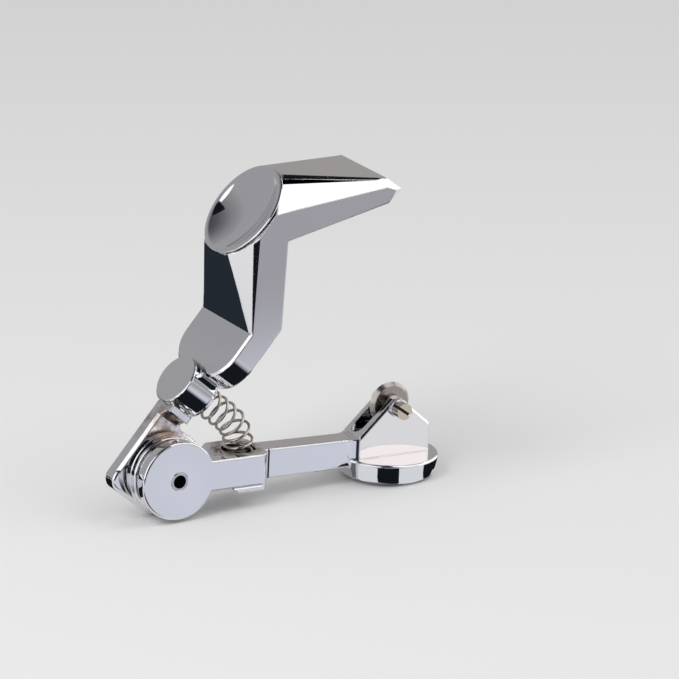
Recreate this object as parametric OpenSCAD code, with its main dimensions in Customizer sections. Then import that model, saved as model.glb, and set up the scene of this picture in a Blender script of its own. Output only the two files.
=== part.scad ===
// Pinch-type glass tube cutter: a sprung jaw closes a V over a small
// cutting wheel.  The tool is drawn with its hinge on the Y axis and the
// arm along +X, then leaned by bench_tilt so that it stands on the hinge
// plate and the foot.  The jaw is drawn closed and swung open by jaw_open.

/* [Hinge] */
// Radius of the hinge eyes
eye_r = 10; // [9:0.1:11]
// Thickness of the arm's eye
eye_w = 3; // [2.5:0.1:4]
// Thickness of the washer between the two eyes
washer_w = 1.64; // [1:0.02:2.5]
// Radius of that washer
washer_r = 8.6; // [7:0.1:8.8]
// Thickness of the jaw's raised eye
jaw_eye_w = 2.25; // [1.5:0.05:3]
// Thickness of the jaw's hinge plate
link_w = 3.8; // [3:0.1:5]
// How far the hinge plate stands out round the raised eye
plate_lip = 0.8; // [0.4:0.1:1]
// Outside radius of the tubular hinge pin
pin_r = 2.2; // [1.9:0.05:3]
// Wall of the tubular hinge pin
pin_wall = 0.55; // [0.4:0.05:0.8]
// Angle that the jaw stands open at rest
jaw_open = 51; // [40:1:54]

/* [Arm] */
// Distance from the hinge to the spring
spring_x = 19.9; // [19:0.1:22]
// Distance from the hinge to the cutting wheel
wheel_x = 62.4; // [58:0.1:70]
// Distance across the tool, from its front face to its middle plane
mid_y = 7; // [6.8:0.1:7.5]
// Height of the arm's top above the hinge
arm_top = 4.15; // [3.8:0.05:4.5]
// Depth of the arm's underside below the hinge
arm_drop = 3.8; // [3:0.1:4.5]
// Depth of the block's belly under the spring
belly_drop = 5.1; // [4.5:0.1:6]
// Width of the bar
bar_w = 6.2; // [5:0.1:8]
// Fall of the bar's top along its length
bar_fall = 0.7; // [0:0.1:1]

/* [Wheel head] */
// Width of the head
head_w = 8.5; // [8:0.1:10]
// Length of the head behind the wheel, towards the bar
head_back = 10.4; // [9.5:0.1:11]
// Length of the head in front of the wheel
head_nose = 9.4; // [8.5:0.1:11]
// Width of the wheel slot
slot_w = 4.5; // [4:0.1:5]
// Slope of the head's roof towards the bar
roof_back = 43.5; // [40:0.5:46]
// Slope of the head's roof towards its nose
roof_nose = 40.5; // [38:0.5:46]
// Height of the wheel's axis above the hinge
wheel_z = 10.7; // [10:0.1:11.5]
// Radius of the cutting edge
wheel_r = 5.6; // [4:0.1:5.8]
// Radius of the wheel's axle
axle_r = 1.25; // [1:0.05:1.4]

/* [Foot] */
// How far the round foot stands out past the jaw at each side
foot_flare = 0.2; // [0:0.05:1]
// Height of the foot
foot_h = 5.15; // [4.5:0.05:6]
// Depth of the foot's top below the hinge
foot_drop = 1.6; // [1:0.1:2]
// Depth of the finger dish in the foot's underside
finger_depth = 1.2; // [0.6:0.1:1.6]

/* [Jaw] */
// Width of the jaw across the paddle and the hook
jaw_w = 25.5; // [22:0.5:28]
// Thickness of the link and the paddle
plate_t = 6.3; // [5.5:0.1:6.5]
// Height of the link's underside above the hinge, jaw closed
plate_z = 5.6; // [5.5:0.1:6.5]
// Height of the V's corner above the hinge, jaw closed
vee_z = 18.9; // [17.5:0.1:22]
// Fall of each side of the V
vee_fall = 37; // [34:1:40]
// Thickness of the hook's legs, measured across them
leg_t = 8.5; // [7:0.1:9]
// Reach of the hook beyond the V's corner
hook_reach = 27.5; // [24:0.1:30]
// How far the thumb rest stays inside the jaw's width at each side
rest_inset = 0.15; // [0:0.05:0.6]
// Height of the thumb rest's rim above the hinge, jaw closed
rest_z = 27.1; // [26.8:0.1:29]
// Depth of the thumb rest's dish
dish_depth = 3; // [2:0.1:3.2]

/* [Spring] */
// Outside radius of the spring
spring_r = 3.9; // [3:0.1:4]
// Diameter of the spring's wire
wire_d = 0.75; // [0.5:0.05:0.9]
// Number of coils
coils = 13; // [8:1:15]
// Radius of the cylinder on the jaw that holds the spring
boss_r = 6.5; // [6:0.1:7]
// Height of that cylinder's closed end above the hinge, jaw closed
boss_top = 14.1; // [13.5:0.1:15]

/* [Hidden] */
$fn = 96;

// Clearances
run_gap = 0.05;      // round a running pin or wheel
face_gap = 0.03;     // between faces that slide past each other
spring_gap = 0.4;    // round the spring in its cup and pocket
eps = 0.01;          // overlap that joins two solids
reach = 100;         // longer than any cut

// Soft edges
rim_soft = 0.5;      // round the hinge eyes
edge_soft = 0.35;    // along straight edges

// Stack of the hinge, front to back
plate_r = eye_r + plate_lip;
jaw_eye_y = eye_w + washer_w + 2 * face_gap;
link_y = jaw_eye_y + jaw_eye_w;
link_back = link_y + link_w;
block_w = 2 * mid_y;
rear_washer_w = 0.5;
rear_washer_r = 4.2;
pin_head_w = 0.6;
pin_head_r = pin_r + 1.2;
pin_proud = 0.15;
pin_back = link_back + rear_washer_w + 2 * face_gap;

// Arm
block_x0 = plate_r + 0.4;
pocket_r = spring_r + spring_gap;
block_x1 = spring_x + pocket_r + 1.2;
block_corner_r = 2.8;
belly_x0 = spring_x - 3.4;
belly_ramp = 1.6;
pocket_floor = arm_drop - 0.6;
block_cove_r = 2.6;
block_cove_out = 1.2;
relief_run = 3.2;
relief_z = 0.5;
heel_z = -2.9;
heel_top = 0.4;
heel_gap = face_gap + 0.02;

// Head
head_x0 = wheel_x - head_back;
head_x1 = wheel_x + head_nose;
head_y0 = mid_y - head_w / 2;
head_y1 = mid_y + head_w / 2;
bar_step = 0.15;
bar_root = 3;        // how far the bar runs into the block
bar_slope = atan2(bar_fall - bar_step, head_x0 - block_x1);
bar_y0 = mid_y - bar_w / 2;
bar_y1 = mid_y + bar_w / 2;
ridge_z = wheel_z + 3.2;
head_sink = 1;       // how far the head runs into the foot
ridge_flat = 1.1;
eave_back = ridge_z - head_back * tan(roof_back);
eave_nose = ridge_z - head_nose * tan(roof_nose);
roof_soft = 0.8;
slot_under = 1;      // room below the wheel
slot_floor = wheel_z - wheel_r - slot_under;
slot_margin = 0.5;
cove_r = 3.1;
cove_run = sqrt(pow(cove_r, 2) - pow(cove_r - (head_w - bar_w) / 2, 2));
collar_r = axle_r + 1.15;
collar_w = 0.95;
axle_head_r = axle_r + 0.85;
axle_head_w = 2.6;
axle_slot_w = 0.7;
axle_slot_drop = 0.9;
axle_slot_turn = 35;
clip_w = 0.5;
clip_groove = 0.3;
clip_play = 0.02;
clip_mouth = 1.4;    // width of the clip's open side, in axle radii
axle_tail = 1.1;

// Wheel
hub_r = axle_r + 1.35;
bush_r = axle_r + 0.6;
shim_w = 0.25;
hub_w = slot_w - 2 * shim_w - 4 * face_gap;
disc_w = 2.2;
edge_bevel = 0.9;

// Foot
foot_r = jaw_w / 2 + foot_flare;
foot_draft = 1;
foot_soft = 0.4;
foot_rim = 1.3;
foot_z1 = -foot_drop;
foot_z0 = foot_z1 - foot_h;
finger_r = foot_r - foot_draft - foot_rim;
finger_ball = (pow(finger_r, 2) + pow(finger_depth, 2)) / (2 * finger_depth);

// Stand: the bench touches the jaw's hinge plate and the far edge of the foot
toe_x = wheel_x + foot_r - foot_draft - foot_soft;
bench_tilt = atan2(foot_z0, toe_x) + asin(plate_r / norm([toe_x, foot_z0]));

// Jaw, drawn closed: x runs along the link and z is up
jaw_y0 = mid_y - jaw_w / 2;
jaw_y1 = mid_y + jaw_w / 2;
plate_top = plate_z + plate_t;
plate_corner_r = 3.2;
link_fillet_r = 2.5;
link_fillet_x = sqrt(pow(plate_r + link_fillet_r, 2) - pow(plate_z - link_fillet_r, 2));
plate_soft = 0.8;
collar_y = 3.75;
collar_x = spring_x - 7.6;
collar_ramp = 1.7;
paddle_x0 = spring_x + 4.1;
paddle_r = 8;
paddle_lap = 1;
collar_lap = 2;      // how far the collar runs under the paddle
vee = [wheel_x - 0.4, vee_z];
bend_in = [vee[0] - (vee_z - plate_z) / tan(vee_fall), plate_z];
bend_out_x = bend_in[0] + (plate_t - leg_t / cos(vee_fall)) / tan(vee_fall);
crown_rise = 7.2;
crown_run = 3.2;
crown_z = vee_z + crown_rise;
leg_top = [vee[0] + (crown_rise - leg_t / cos(vee_fall)) / tan(vee_fall), crown_z];
arm_top_in = [vee[0] + crown_run, crown_z];
tip_x = vee[0] + hook_reach;
tip_drop = 17.2;
tip_low = vee_z - tip_drop;
arm_end_x = vee[0] + tip_drop / tan(vee_fall);
rest_x = wheel_x + 0.1;
rest_r = jaw_w / 2 - rest_inset;
rest_lip = 1;
rest_sink = 3.2;
rest_spigot_r = rest_r - 2.2;
rest_rim = 1.3;
rest_shelf = 0.7;    // how far the corner and the rim's crown stay inside the rest
rest_shelf_t = 0.2;
rest_round = rest_shelf / 2;
dish_ball = (pow(rest_r - rest_rim, 2) + pow(dish_depth, 2)) / (2 * dish_depth);
ridge_low_half = 6;
ridge_high_half = 4.8;
tip_half = jaw_w / 2 - 1.5;
bend_half = jaw_w / 2 - 1.2;
ridge_bar_half = 0.4;
ridge_bar_t = 0.6;
paddle_soft = 0.6;

// Nose of the hook, in run back from its tip and height above its lower edge
nose_top = [2, 2.9];
nose_low = [1.1, 0.6];
nose_ridge_top = [0.5, 4.3];
nose_ridge_low = [0.2, -0.9];

// Spring cup
cup_r = spring_r + spring_gap;
cup_wall = 2;
cup_top = boss_top - cup_wall;
boss_low = plate_z - 0.5;
boss_edge = 0.3;
boss_foot_in = 0.6;
boss_foot_h = 1.2;
seat_w = 0.6;
seat_r = cup_r - run_gap;
seat_bore = 1.2;

// Spring screw
screw_head_r = 2.4;
screw_head_w = 0.8;
screw_r = 1.6;
screw_stub = 3.6;
screw_slot_w = 0.7;
screw_slot_drop = 0.4;

// Shapes that repeat

// Leans the drawn tool to the way it stands on a bench
module on_bench() rotate([0, bench_tilt, 0]) children();

// Swings what is drawn for the closed jaw to the open rest position
module open_jaw() on_bench() rotate([0, -jaw_open, 0]) children();

// Round bar along Y
module y_rod(r, y0, y1) translate([0, y0, 0]) rotate([-90, 0, 0]) cylinder(r = r, h = y1 - y0);

// Round bar along Y with its front edge rounded
module y_eye(r, y0, y1, soft) translate([0, y0, 0]) rotate([-90, 0, 0]) rotate_extrude()
    polygon(concat([[0, 0]], [for (a = [0:15:90]) [r - soft + soft * sin(a), soft - soft * cos(a)]],
                   [[r, y1 - y0], [0, y1 - y0]]));

// Cutter that breaks an edge running along X
module x_edge(y, z, soft) translate([0, y, z]) rotate([45, 0, 0])
    cube([2 * reach, soft * sqrt(2), soft * sqrt(2)], center = true);

// Side view drawn in X and Z, given its width along Y
module y_slab(y0, y1) translate([0, y1, 0]) rotate([90, 0, 0]) linear_extrude(y1 - y0) children();

// Plain washer along Y
module y_ring(r, bore, y0, y1) difference() {
    y_rod(r, y0, y1);
    y_rod(bore, y0 - eps, y1 + eps);
}

// Plan view of a block with two round corners at its far end
module round_end(x0, x1, y0, y1, r) {
    translate([x0, y0]) square([x1 - r - x0, y1 - y0]);
    translate([x0, y0 + r]) square([x1 - x0, y1 - y0 - 2 * r]);
    for (y = [y0 + r, y1 - r]) translate([x1 - r, y]) circle(r);
}

// Arm

// Side view of the block that holds the spring, with its belly
module block_side() difference() {
    polygon([[0, arm_top], [block_x1, arm_top], [block_x1, -arm_drop],
             [block_x1 - belly_ramp, -belly_drop], [belly_x0, -belly_drop],
             [belly_x0 - belly_ramp, -arm_drop], [0, -arm_drop]]);
    translate([block_x1 + block_cove_out, -belly_drop - block_cove_out]) circle(block_cove_r);
}

// Block behind the eye, cut back for the jaw's hinge plate
module block() difference() {
    intersection() {
        y_slab(0, block_w) block_side();
        translate([0, 0, -reach / 2]) linear_extrude(reach)
            round_end(0, block_x1, 0, block_w, block_corner_r);
    }
    x_edge(0, arm_top, edge_soft);
    x_edge(0, -arm_drop, edge_soft);
    x_edge(block_w, arm_top, edge_soft);
    translate([-eps, eye_w, -reach / 2]) cube([block_x0 + eps, reach, reach]);
    y_slab(eye_w, reach) polygon([[block_x0 - eps, relief_z], [block_x0 - eps, reach],
        [block_x0 + relief_run * reach / (arm_top - relief_z), relief_z + reach]]);
}

// Bar from the block to the head, falling a little along its top
module bar() difference() {
    y_slab(bar_y0, bar_y1) polygon([[block_x1 - bar_root, -arm_drop], [wheel_x, -arm_drop],
        [wheel_x, arm_top - bar_fall], [head_x0, arm_top - bar_fall], [block_x1, arm_top - bar_step],
        [block_x1 - bar_root, arm_top - bar_step]]);
    for (y = [bar_y0, bar_y1]) {
        x_edge(y, -arm_drop, edge_soft);
        translate([block_x1, 0, arm_top - bar_step]) rotate([0, bar_slope, 0])
            translate([-block_x1, 0, 0]) x_edge(y, 0, edge_soft);
    }
}

// Coved flare where the bar meets the head
module flare() translate([0, 0, -arm_drop]) linear_extrude(arm_drop + arm_top - bar_fall) difference() {
    translate([head_x0 - cove_run, head_y0]) square([cove_run + head_sink, head_w]);
    for (y = [bar_y0 - cove_r, bar_y1 + cove_r]) translate([head_x0 - cove_run, y]) circle(cove_r);
}

// Gabled head with the slot that the wheel turns in
module head() difference() {
    y_slab(head_y0, head_y1) polygon([
        [head_x0, foot_z1 - head_sink], [head_x1, foot_z1 - head_sink], [head_x1, eave_nose],
        [wheel_x + ridge_flat, ridge_z - ridge_flat * tan(roof_nose)],
        [wheel_x - ridge_flat, ridge_z - ridge_flat * tan(roof_back)], [head_x0, eave_back]]);
    translate([0, 0, slot_floor]) linear_extrude(reach) wheel_slot();
    translate([wheel_x, 0, wheel_z]) y_rod(axle_r, -reach, reach);
    for (y = [head_y0, head_y1]) translate([wheel_x, 0, ridge_z]) {
        rotate([0, -roof_back, 0]) translate([-reach, y, 0]) rotate([45, 0, 0])
            cube([2 * reach, roof_soft, roof_soft], center = true);
        rotate([0, roof_nose, 0]) translate([reach, y, 0]) rotate([45, 0, 0])
            cube([2 * reach, roof_soft, roof_soft], center = true);
    }
}

// Plan of the slot, with round ends
module wheel_slot() {
    slot_x0 = head_x0 + slot_margin + slot_w / 2;
    slot_x1 = head_x1 - slot_margin - slot_w / 2;
    for (x = [slot_x0, slot_x1]) translate([x, mid_y]) circle(slot_w / 2);
    translate([slot_x0, mid_y - slot_w / 2]) square([slot_x1 - slot_x0, slot_w]);
}

// Round foot below the head, dished underneath for a finger
module foot() translate([wheel_x, mid_y, 0]) difference() {
    rotate_extrude() polygon([[0, foot_z0], [foot_r - foot_draft - foot_soft, foot_z0],
        [foot_r - foot_draft, foot_z0 + foot_soft], [foot_r, foot_z1 - foot_soft],
        [foot_r - foot_soft, foot_z1], [0, foot_z1]]);
    translate([0, 0, foot_z0 - finger_ball + finger_depth]) sphere(r = finger_ball, $fn = 180);
}

module lower_arm() color("gainsboro") on_bench() difference() {
    union() {
        y_eye(eye_r, 0, eye_w, rim_soft);
        block();
        bar();
        flare();
        head();
        foot();
    }
    y_rod(pin_r, -eps, eye_w + eps);
    translate([spring_x, mid_y, -pocket_floor]) cylinder(r = pocket_r, h = reach);
    translate([spring_x, mid_y, -reach / 2]) cylinder(r = screw_r, h = reach);
}

// Hinge

// Tubular pin with a rolled head at the back
module hinge_pin() color("silver") on_bench() difference() {
    union() {
        y_rod(pin_r, -pin_proud, pin_back + pin_head_w);
        y_rod(pin_head_r, pin_back, pin_back + pin_head_w);
    }
    y_rod(pin_r - pin_wall, -reach, reach);
}

module thrust_washer() color("darkgray") on_bench()
    y_ring(washer_r, pin_r + run_gap, eye_w + face_gap, eye_w + face_gap + washer_w);

module rear_washer() color("darkgray") on_bench()
    y_ring(rear_washer_r, pin_r + run_gap, link_back + face_gap, link_back + face_gap + rear_washer_w);

// Wheel, its axle and what holds them

module at_wheel() on_bench() translate([wheel_x, 0, wheel_z]) children();

module wheel_axle() color("wheat") at_wheel() difference() {
    union() {
        y_rod(axle_r, head_y0 - collar_w - 2 * face_gap - eps, head_y1 + axle_tail);
        y_rod(axle_head_r, head_y0 - collar_w - 2 * face_gap - axle_head_w,
              head_y0 - collar_w - 2 * face_gap);
    }
    rotate([0, axle_slot_turn, 0]) translate([-reach / 2, -reach, -axle_slot_w / 2])
        cube([reach, reach + head_y0 - collar_w - axle_head_w + axle_slot_drop, axle_slot_w]);
    y_ring(reach, axle_r - clip_groove, head_y1 + face_gap, head_y1 + face_gap + clip_w);
}

module axle_collar() color("wheat") at_wheel()
    y_ring(collar_r, axle_r + run_gap, head_y0 - face_gap - collar_w, head_y0 - face_gap);

// Spring clip in the axle's groove, open on one side
module axle_clip() color("dimgray") at_wheel() difference() {
    y_ring(collar_r, axle_r - clip_groove + eps, head_y1 + face_gap + clip_play,
           head_y1 + face_gap + clip_w - clip_play);
    translate([-axle_r * clip_mouth / 2, 0, -reach]) cube([axle_r * clip_mouth, reach, reach]);
}

// Two thin shims that centre the wheel in its slot
module wheel_shims() color("silver") at_wheel() for (y = [mid_y - slot_w / 2 + face_gap,
                                                         mid_y + slot_w / 2 - face_gap - shim_w])
    y_ring(hub_r, axle_r + run_gap, y, y + shim_w);

// Hardened wheel: a bevelled cutting edge round a thicker hub
module cutting_wheel() color("lightgray") at_wheel() translate([0, mid_y, 0]) rotate([-90, 0, 0])
    difference() {
        rotate_extrude() polygon([[0, -hub_w / 2], [hub_r, -hub_w / 2], [hub_r, -disc_w / 2],
            [wheel_r - edge_bevel, -disc_w / 2], [wheel_r, 0], [wheel_r - edge_bevel, disc_w / 2],
            [hub_r, disc_w / 2], [hub_r, hub_w / 2], [0, hub_w / 2]]);
        cylinder(r = bush_r, h = reach, center = true);
    }

module wheel_bush() color("goldenrod") at_wheel()
    y_ring(bush_r, axle_r + run_gap, mid_y - hub_w / 2, mid_y + hub_w / 2);

// Jaw

// Side view of the jaw's hinge plate without its eye: the link, its square end and the stop heel
module plate_side() {
    difference() {
        translate([-plate_r, 0]) square([plate_r + link_fillet_x, plate_top]);
        translate([-plate_r, plate_top - plate_corner_r]) square(plate_corner_r);
        translate([0, -eps]) square([link_fillet_x + eps, plate_z - link_fillet_r + 2 * eps]);
        translate([link_fillet_x, plate_z - link_fillet_r]) circle(link_fillet_r);
    }
    translate([0, plate_z]) square([collar_x + collar_ramp, plate_t]);
    rotate(-jaw_open) translate([0, heel_z]) square([block_x0 - heel_gap, heel_top - heel_z]);
}

// Hinge plate with its front edges rounded
module hinge_plate() {
    y_eye(plate_r, link_y, link_back, plate_soft);
    translate([plate_corner_r - plate_r, 0, plate_top - plate_corner_r])
        y_eye(plate_corner_r, link_y, link_back, plate_soft);
    difference() {
        y_slab(link_y, link_back) plate_side();
        x_edge(link_y, plate_top, plate_soft);
        translate([-plate_r, link_y, 0]) rotate([0, 0, 45])
            cube([plate_soft * sqrt(2), plate_soft * sqrt(2), 2 * reach], center = true);
    }
}

// Plan of the collar that widens the link to carry the spring boss
module link_plan() polygon([[collar_x - collar_ramp, link_back], [collar_x - collar_ramp, link_y],
    [collar_x, link_y - collar_ramp], [collar_x, collar_y], [spring_x, collar_y],
    [paddle_x0 + collar_lap, jaw_y0 + paddle_r], [paddle_x0 + collar_lap, jaw_y1 - paddle_r],
    [spring_x, link_back]]);

// Paddle with a rounded end, its upper edges broken
module paddle() {
    for (y = [jaw_y0 + paddle_r, jaw_y1 - paddle_r]) translate([paddle_x0 + paddle_r, y, plate_top])
        rotate([180, 0, 0]) rotate_extrude() polygon([[0, 0], [paddle_r - paddle_soft, 0],
            [paddle_r, paddle_soft], [paddle_r, plate_t], [0, plate_t]]);
    translate([paddle_x0, jaw_y0 + paddle_r, plate_z]) difference() {
        cube([paddle_r, jaw_w - 2 * paddle_r, plate_t]);
        translate([0, 0, plate_t]) rotate([0, 45, 0])
            cube([paddle_soft * sqrt(2), 2 * reach, paddle_soft * sqrt(2)], center = true);
    }
    difference() {
        translate([paddle_x0 + paddle_r, jaw_y0, plate_z])
            cube([bend_out_x - paddle_x0 - paddle_r, jaw_w, plate_t]);
        x_edge(jaw_y0, plate_top, paddle_soft);
        x_edge(jaw_y1, plate_top, paddle_soft);
    }
}

// Closed cylinder that the spring stands in
module spring_boss() translate([spring_x, mid_y, 0]) rotate_extrude() polygon([
    [0, boss_low], [boss_r - boss_foot_in, boss_low], [boss_r, boss_low + boss_foot_h],
    [boss_r, boss_top - boss_edge], [boss_r - boss_edge, boss_top], [0, boss_top]]);

// Thin cross bar that a ridge facet ends on
module ridge_bar(at, half) y_slab(mid_y - half, mid_y + half) translate(at)
    polygon([[0, 0], [ridge_bar_half, -ridge_bar_t], [-ridge_bar_half, -ridge_bar_t]]);

// Leg that rises from the paddle to the V's corner
module near_leg() hull() {
    y_slab(jaw_y0, jaw_y1) polygon([[bend_out_x, plate_top - paddle_soft], leg_top, vee, bend_in]);
    ridge_bar([bend_out_x, plate_top], bend_half);
    ridge_bar([rest_x - rest_r + rest_lip, rest_z - rest_lip / 2], ridge_low_half);
}

// Point of the hook's nose
function nose(back_up) = [tip_x - back_up[0], tip_low + back_up[1]];

// Arm that falls from the V's corner to the hook's tip
module far_leg() hull() {
    y_slab(jaw_y0, jaw_y1) polygon([arm_top_in, nose(nose_top), nose(nose_low), [arm_end_x, tip_low], vee]);
    ridge_bar([rest_x + rest_r - rest_shelf, rest_z - rest_lip / 2], ridge_high_half);
    ridge_bar(nose(nose_ridge_top), tip_half);
    ridge_bar(nose(nose_ridge_low), tip_half);
}

// Corner below the thumb rest
module hook_corner() hull() {
    y_slab(jaw_y0, jaw_y1) polygon([leg_top, arm_top_in, vee]);
    translate([rest_x, mid_y, rest_z - rest_lip - rest_shelf_t])
        cylinder(r = rest_r - rest_shelf, h = rest_shelf_t);
}

module lever() color("gainsboro") open_jaw() difference() {
    union() {
        y_eye(eye_r, jaw_eye_y, link_y + eps, rim_soft);
        hinge_plate();
        translate([0, 0, plate_z]) linear_extrude(plate_t) link_plan();
        paddle();
        y_slab(jaw_y0, jaw_y1) polygon([[bend_out_x - paddle_lap, plate_z],
            [bend_out_x - paddle_lap, plate_top - paddle_soft],
            [bend_out_x, plate_top - paddle_soft], bend_in]);
        spring_boss();
        near_leg();
        far_leg();
        hook_corner();
    }
    y_rod(pin_r + run_gap, -reach, reach);
    translate([spring_x, mid_y, boss_low - eps]) cylinder(r = cup_r, h = cup_top - boss_low + eps);
    translate([rest_x, mid_y, rest_z - rest_lip - rest_sink]) cylinder(r = rest_spigot_r, h = reach);
    translate([rest_x, mid_y, rest_z - rest_lip]) cylinder(r = rest_r + run_gap, h = reach);
}

// Turned cup for the thumb, pressed into the hook's corner
module thumb_rest() color("gainsboro") open_jaw() translate([rest_x, mid_y, rest_z]) difference() {
    union() {
        rotate_extrude() polygon([[0, -rest_lip], [rest_r - rest_shelf, -rest_lip],
            for (a = [0:15:90]) [rest_r - rest_round * (1 - cos(a)), rest_round * (sin(a) - 1)],
            [0, 0]]);
        translate([0, 0, -rest_lip - rest_sink + face_gap]) cylinder(r = rest_spigot_r, h = rest_sink);
    }
    translate([0, 0, dish_ball - dish_depth]) sphere(r = dish_ball, $fn = 180);
}

// Spring and what it bears on

module spring_seat() color("silver") open_jaw() translate([spring_x, mid_y, cup_top - seat_w])
    difference() {
        cylinder(r = seat_r, h = seat_w - eps);
        translate([0, 0, -eps]) cylinder(r = seat_bore, h = seat_w + 2 * eps);
    }

// Slotted screw under the block; its tip keeps the spring upright
module spring_screw() color("silver") on_bench() translate([spring_x, mid_y, 0]) difference() {
    union() {
        translate([0, 0, -belly_drop - screw_head_w]) cylinder(r = screw_head_r, h = screw_head_w - eps);
        translate([0, 0, -belly_drop - 2 * eps])
            cylinder(r = screw_r, h = belly_drop + 2 * eps - pocket_floor + screw_stub);
    }
    translate([-reach / 2, -screw_slot_w / 2, -belly_drop - screw_head_w - eps])
        cube([reach, screw_slot_w, screw_slot_drop + eps]);
}

// The spring's centre line: straight out of the cup, round a bend, straight into the pocket
bend_r = 11;
bend_z = spring_x * tan(jaw_open / 2);
bend_in_len = bend_r * tan(jaw_open / 2);
run_top = cup_top - seat_w - wire_d / 2 - eps + bend_z - bend_in_len;
run_bend = bend_r * jaw_open * PI / 180;
run_low = bend_z - bend_in_len + pocket_floor - wire_d / 2 - eps;
run_all = run_top + run_bend + run_low;
coil_gap = 0.06;     // between the wound-down end coils
end_pitch = wire_d + coil_gap;
open_pitch = (run_all - 2 * end_pitch) / (coils - 2);

// Turn of the spring's axis, in degrees, at a distance along it
function lean(u) = jaw_open * min(1, max(0, (u - run_top) / run_bend));
bend_start = [cos(jaw_open), sin(jaw_open)] * spring_x
    + [-sin(jaw_open), cos(jaw_open)] * (bend_in_len - bend_z);
bend_centre = bend_start - [cos(jaw_open), sin(jaw_open)] * bend_r;
function out_dir(u) = [cos(jaw_open - lean(u)), sin(jaw_open - lean(u))];
function down_dir(u) = [sin(jaw_open - lean(u)), -cos(jaw_open - lean(u))];
function axis_at(u) = u < run_top ? bend_start - down_dir(0) * (run_top - u)
    : bend_centre + out_dir(u) * bend_r + down_dir(u) * max(0, u - run_top - run_bend);
function along(turn) = turn < 1 ? turn * end_pitch
    : turn > coils - 1 ? run_all - (coils - turn) * end_pitch
    : end_pitch + (turn - 1) * open_pitch;

// Point on the wire's skin, by turn of the coil and angle round the wire
function skin(turn, a) = let (u = along(turn), o = out_dir(u), d = down_dir(u), p = axis_at(u),
        r = spring_r - wire_d / 2 + wire_d / 2 * cos(a), w = wire_d / 2 * sin(a),
        c = r * cos(360 * turn), q = p + o * c + d * w)
    [q[0], mid_y - r * sin(360 * turn), q[1]];

module spring() color("darkgray") on_bench() {
    turn_steps = 20;
    steps = turn_steps * coils;
    sides = 8;
    skin_points = [for (i = [0:steps], k = [0:sides - 1]) skin(i / turn_steps, 360 * k / sides)];
    walls = [for (i = [0:steps - 1], k = [0:sides - 1])
        [i * sides + k, i * sides + (k + 1) % sides,
         (i + 1) * sides + (k + 1) % sides, (i + 1) * sides + k]];
    ends = [[for (k = [sides - 1:-1:0]) k], [for (k = [0:sides - 1]) steps * sides + k]];
    polyhedron(skin_points, concat(walls, ends), convexity = 10);
}

lower_arm();
hinge_pin();
thrust_washer();
rear_washer();
spring_screw();
wheel_axle();
axle_collar();
axle_clip();
wheel_shims();
cutting_wheel();
wheel_bush();
lever();
thumb_rest();
spring_seat();
spring();
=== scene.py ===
# %% [markdown]
# # A pinch-type glass tube cutter
# The tool is a small sprung plier.  A glass tube lies across a hardened
# wheel on the lower arm, the thumb presses the hook down on the tube, and
# the tube is turned until the wheel has scored it all round.  Nearly every
# piece is a chromed casting or a turned steel part, so this lesson is mostly
# about mirrors: what they reflect, how smooth they are and how their edges
# catch the light.
#
# The first cell loads the measured model.  Everything below is placed in its
# frame, in metres, with the hinge on the Y axis.

# %% Load the measured model
import math

import bmesh
import bpy
from mathutils import Matrix, Vector


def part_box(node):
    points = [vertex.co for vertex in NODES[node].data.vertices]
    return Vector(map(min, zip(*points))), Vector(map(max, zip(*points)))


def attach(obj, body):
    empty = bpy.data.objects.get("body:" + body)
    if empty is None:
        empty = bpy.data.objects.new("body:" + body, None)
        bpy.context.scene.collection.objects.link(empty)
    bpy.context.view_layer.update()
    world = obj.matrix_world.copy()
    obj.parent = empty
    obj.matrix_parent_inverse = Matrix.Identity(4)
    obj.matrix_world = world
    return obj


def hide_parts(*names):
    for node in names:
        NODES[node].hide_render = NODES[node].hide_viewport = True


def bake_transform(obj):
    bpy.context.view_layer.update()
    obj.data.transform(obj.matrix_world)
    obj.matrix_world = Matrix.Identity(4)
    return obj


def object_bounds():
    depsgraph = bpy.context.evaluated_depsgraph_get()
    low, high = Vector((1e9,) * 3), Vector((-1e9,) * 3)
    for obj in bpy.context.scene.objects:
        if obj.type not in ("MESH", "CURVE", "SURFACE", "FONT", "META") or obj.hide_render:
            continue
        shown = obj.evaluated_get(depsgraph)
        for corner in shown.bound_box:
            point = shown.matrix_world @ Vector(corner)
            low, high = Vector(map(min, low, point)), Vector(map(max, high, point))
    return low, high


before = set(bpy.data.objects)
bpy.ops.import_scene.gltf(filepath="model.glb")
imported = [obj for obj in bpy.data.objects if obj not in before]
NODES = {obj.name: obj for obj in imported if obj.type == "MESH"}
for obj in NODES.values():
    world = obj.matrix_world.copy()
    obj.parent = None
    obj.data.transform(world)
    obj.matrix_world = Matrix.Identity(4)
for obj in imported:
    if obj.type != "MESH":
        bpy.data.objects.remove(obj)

cad_box = [list(corner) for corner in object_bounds()]
bench_z = cad_box[0][2]
middle = Vector((cad_box[0][i] + cad_box[1][i] for i in range(3))) / 2
print("pieces:", ", ".join(sorted(NODES)))
print("box in mm:", [round((b - a) * 1000, 2) for a, b in zip(*cad_box)])


# %% Put something in the scene
def linked(name, data):
    """An object for some data, linked to the scene."""
    obj = bpy.data.objects.new(name, data)
    bpy.context.scene.collection.objects.link(obj)
    return obj


# %% [markdown]
# ## Camera
# A product shot of something this small is taken from far off with a long
# lens, so that parallel edges stay nearly parallel.  The camera stands 1.5 m
# away, a little above the tool and to the left of its front.  Its three axes
# are written out, because they say the view exactly: right, up and backwards.

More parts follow.
